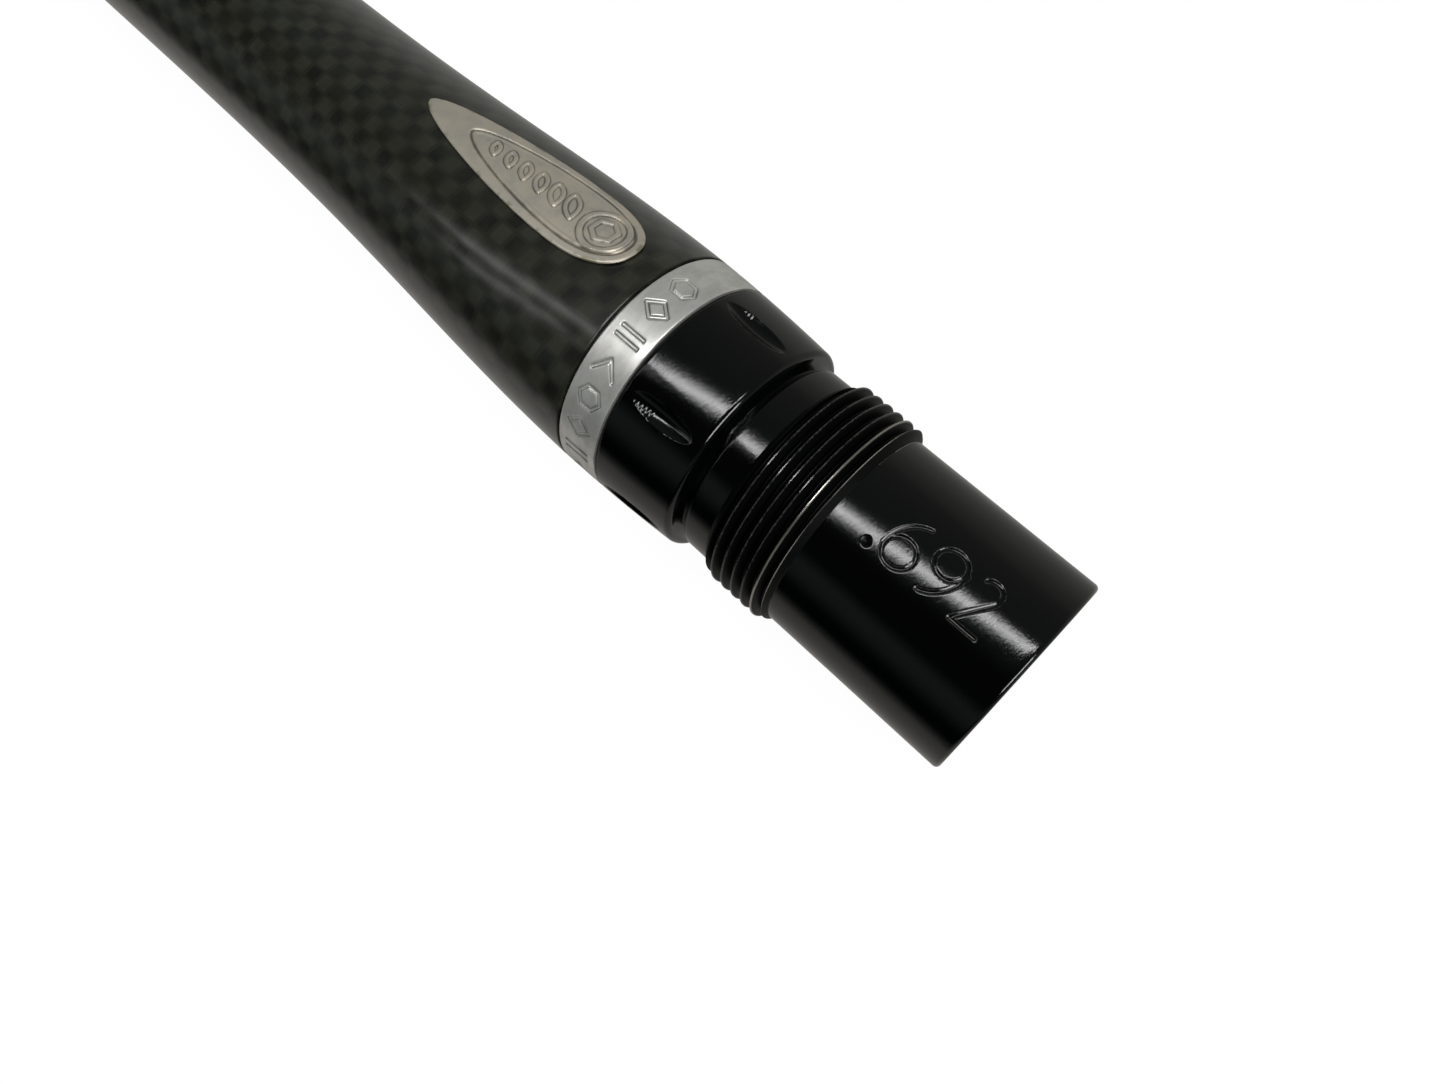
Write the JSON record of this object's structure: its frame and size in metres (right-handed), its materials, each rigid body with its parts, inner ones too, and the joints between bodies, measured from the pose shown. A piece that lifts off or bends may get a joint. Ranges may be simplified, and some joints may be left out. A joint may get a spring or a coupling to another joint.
{
  "type": "paintball marker barrel",
  "caption": "Tubular marker barrel: a threaded black back that unscrews from a flared carbon-fibre front tube with a bright band, a drop-shaped badge and vent ports.",
  "frame": {"origin": "on the bore's axis, in the plane of the collar's shoulder that seats on the marker's face", "axes": "+X along the bore towards the muzzle, +Z through the middle of the badge, +Y completes a right-handed frame"},
  "size_m": [0.3556, 0.0254, 0.0259],
  "materials": {
    "black_anodised": "gloss black anodised, turned",
    "nitrile_rubber": "matt moulded",
    "bare_aluminium": "turned, uncoated",
    "polished_aluminium": "brushed round and polished, with stamped marks",
    "carbon_fibre": "woven carbon fibre under gloss lacquer",
    "muzzle_anodised": "gloss black anodised, turned",
    "adhesive_film": "thin adhesive film",
    "nickel_badge": "satin nickel, cast relief"
  },
  "bodies": {
    "back": {"barrel_back": "black_anodised", "pilot_o_ring": "nitrile_rubber"},
    "tip_seal": {"tip_o_ring": "nitrile_rubber"},
    "front": {"thread_insert": "bare_aluminium", "accent_band": "polished_aluminium", "carbon_shell": "carbon_fibre", "muzzle_ring": "muzzle_anodised", "badge_adhesive": "adhesive_film", "badge_plate": "nickel_badge"}
  },
  "joints": [
    {"name": "front_travel", "type": "slide", "parent": "back", "child": "tip_seal", "axis": [1, 0, 0], "range_m": [0, 0.00765]},
    {"name": "front_turn", "type": "hinge", "parent": "tip_seal", "child": "front", "pos_m": [0, 0, 0], "axis": [1, 0, 0], "range_deg": [0, 2160]}
  ],
  "couplings": [
    {"joint": "front_travel", "follows": "front_turn", "m_per_rad": 0.00020213}
  ]
}
